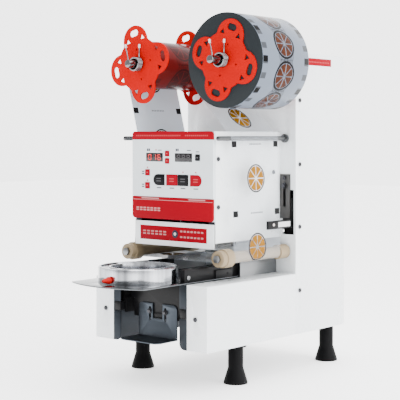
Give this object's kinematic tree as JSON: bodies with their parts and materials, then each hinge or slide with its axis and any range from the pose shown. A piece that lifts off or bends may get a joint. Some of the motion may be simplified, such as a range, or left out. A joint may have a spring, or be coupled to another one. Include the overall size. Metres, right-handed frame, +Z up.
{
  "type": "cup sealing machine",
  "caption": "Upright bench-top cup sealer: white cabinet, film reels on top, keypad head with press, sliding tray with a round cup ring.",
  "frame": {"origin": "on the table under the middle of the whole machine's box", "axes": "+X to the right seen from the front, +Y towards the back, +Z up"},
  "size_m": [0.3492, 0.538, 0.6423],
  "materials": {
    "white_paint": "gloss",
    "white_plastic": "gloss",
    "steel": "satin",
    "chassis_steel": "satin",
    "polished_steel": "polished",
    "black_metal": "satin",
    "black_plastic": "matte",
    "red_plastic": "gloss",
    "membrane": "satin",
    "display": "gloss",
    "board": "satin",
    "chrome": "polished",
    "aluminium": "polished",
    "film": "gloss",
    "film_roll": "gloss",
    "wound_film": "gloss",
    "tan_plastic": "satin",
    "sensor_white": "satin",
    "key_red": "satin",
    "key_black": "satin"
  },
  "bodies": {
    "machine": {"cabinet_cover": "white_paint", "front_plate": "white_paint", "back_plate": "white_paint", "base_plate": "steel", "chassis_plates": "chassis_steel", "arm_covers": "white_paint", "feet": "black_plastic", "machine_screws": "steel", "head_frame": "chassis_steel", "head_cover": "white_paint", "head_bezel": "white_plastic", "head_cap": "red_plastic", "head_band": "red_plastic", "membrane": "membrane", "displays": "display", "control_board": "board", "guide_rods": "chrome", "roller_axles": "chrome", "shaft_bearings": "chassis_steel", "film_web": "film", "press_bridge": "steel", "press_actuator": "black_plastic", "slide_rails": "black_metal", "sensor_plate": "steel", "takeup_motor": "black_metal", "power_supply": "steel", "mains_inlet": "black_plastic"},
    "tray": {"tray_plate": "polished_steel", "tray_arms": "black_metal", "cup_ring": "aluminium", "runners": "black_plastic", "tray_hanger": "black_metal", "rest_screws": "steel"},
    "cup_rest": {"cup_rest": "chassis_steel"},
    "ring_knob": {"ring_knob": "red_plastic"},
    "press": {"press_plate": "aluminium", "sealing_die": "aluminium", "press_rods": "chrome"},
    "safety_door": {"safety_door": "white_paint"},
    "takeup_reel": {"takeup_shaft": "chrome", "takeup_discs": "red_plastic", "takeup_roll": "wound_film", "takeup_clamp": "chrome"},
    "supply_reel": {"supply_shaft": "chrome", "supply_discs": "red_plastic", "supply_roll": "film_roll", "supply_clamp": "chrome"},
    "roller_left": {"roller_left": "tan_plastic"},
    "roller_right": {"roller_right": "tan_plastic"},
    "film_sensor": {"film_sensor": "sensor_white"},
    "rocker_switch": {"rocker_switch": "black_plastic"},
    "key_timer_up": {"key_timer_up": "key_red"},
    "key_timer_down": {"key_timer_down": "key_red"},
    "key_reset": {"key_reset": "key_black"},
    "key_mode": {"key_mode": "key_red"},
    "key_feed": {"key_feed": "key_red"},
    "key_auto": {"key_auto": "key_black"},
    "key_power": {"key_power": "key_red"},
    "key_manual": {"key_manual": "key_black"},
    "key_start": {"key_start": "key_red"}
  },
  "joints": [
    {"name": "tray_slide", "type": "slide", "parent": "machine", "child": "tray", "axis": [0, 1, 0], "range_m": [0, 0.181]},
    {"name": "rest_slide", "type": "slide", "parent": "tray", "child": "cup_rest", "axis": [0, 0, 1], "range_m": [0, 0.013]},
    {"name": "knob_turn", "type": "hinge", "parent": "tray", "child": "ring_knob", "pos_m": [-0.00571, -0.2391, 0.1875], "axis": [0, -1, 0], "range_deg": [-180, 180]},
    {"name": "press_slide", "type": "slide", "parent": "machine", "child": "press", "axis": [0, 0, -1], "range_m": [0, 0.021]},
    {"name": "door_slide", "type": "slide", "parent": "machine", "child": "safety_door", "axis": [0, 0, -1], "range_m": [0, 0.022]},
    {"name": "takeup_turn", "type": "hinge", "parent": "machine", "child": "takeup_reel", "pos_m": [-0.10271, 0.011, 0.559], "axis": [0, 1, 0], "continuous": true},
    {"name": "supply_turn", "type": "hinge", "parent": "machine", "child": "supply_reel", "pos_m": [0.09129, 0.011, 0.559], "axis": [0, 1, 0], "continuous": true},
    {"name": "roller_left_turn", "type": "hinge", "parent": "machine", "child": "roller_left", "pos_m": [-0.11271, 0.011, 0.2175], "axis": [0, 1, 0], "continuous": true},
    {"name": "roller_right_turn", "type": "hinge", "parent": "machine", "child": "roller_right", "pos_m": [0.10129, 0.011, 0.2175], "axis": [0, 1, 0], "continuous": true},
    {"name": "sensor_slide", "type": "slide", "parent": "machine", "child": "film_sensor", "axis": [0, 0, 1], "range_m": [-0.012, 0.001]},
    {"name": "rocker_turn", "type": "hinge", "parent": "machine", "child": "rocker_switch", "pos_m": [-0.00571, 0.261, 0.173], "axis": [1, 0, 0], "range_deg": [-8, 8]},
    {"name": "key_timer_up_press", "type": "slide", "parent": "machine", "child": "key_timer_up", "axis": [0, 1, 0], "range_m": [0, 0.0006], "stiffness_N_per_m": 400},
    {"name": "key_timer_down_press", "type": "slide", "parent": "machine", "child": "key_timer_down", "axis": [0, 1, 0], "range_m": [0, 0.0006], "stiffness_N_per_m": 400},
    {"name": "key_reset_press", "type": "slide", "parent": "machine", "child": "key_reset", "axis": [0, 1, 0], "range_m": [0, 0.0006], "stiffness_N_per_m": 400},
    {"name": "key_mode_press", "type": "slide", "parent": "machine", "child": "key_mode", "axis": [0, 1, 0], "range_m": [0, 0.0006], "stiffness_N_per_m": 400},
    {"name": "key_feed_press", "type": "slide", "parent": "machine", "child": "key_feed", "axis": [0, 1, 0], "range_m": [0, 0.0006], "stiffness_N_per_m": 400},
    {"name": "key_auto_press", "type": "slide", "parent": "machine", "child": "key_auto", "axis": [0, 1, 0], "range_m": [0, 0.0006], "stiffness_N_per_m": 400},
    {"name": "key_power_press", "type": "slide", "parent": "machine", "child": "key_power", "axis": [0, 1, 0], "range_m": [0, 0.0006], "stiffness_N_per_m": 400},
    {"name": "key_manual_press", "type": "slide", "parent": "machine", "child": "key_manual", "axis": [0, 1, 0], "range_m": [0, 0.0006], "stiffness_N_per_m": 400},
    {"name": "key_start_press", "type": "slide", "parent": "machine", "child": "key_start", "axis": [0, 1, 0], "range_m": [0, 0.0006], "stiffness_N_per_m": 400}
  ],
  "couplings": [
    {"joint": "takeup_turn", "follows": "supply_turn", "ratio": -1.9062},
    {"joint": "roller_left_turn", "follows": "supply_turn", "ratio": -8.33},
    {"joint": "roller_right_turn", "follows": "supply_turn", "ratio": -8.33}
  ]
}
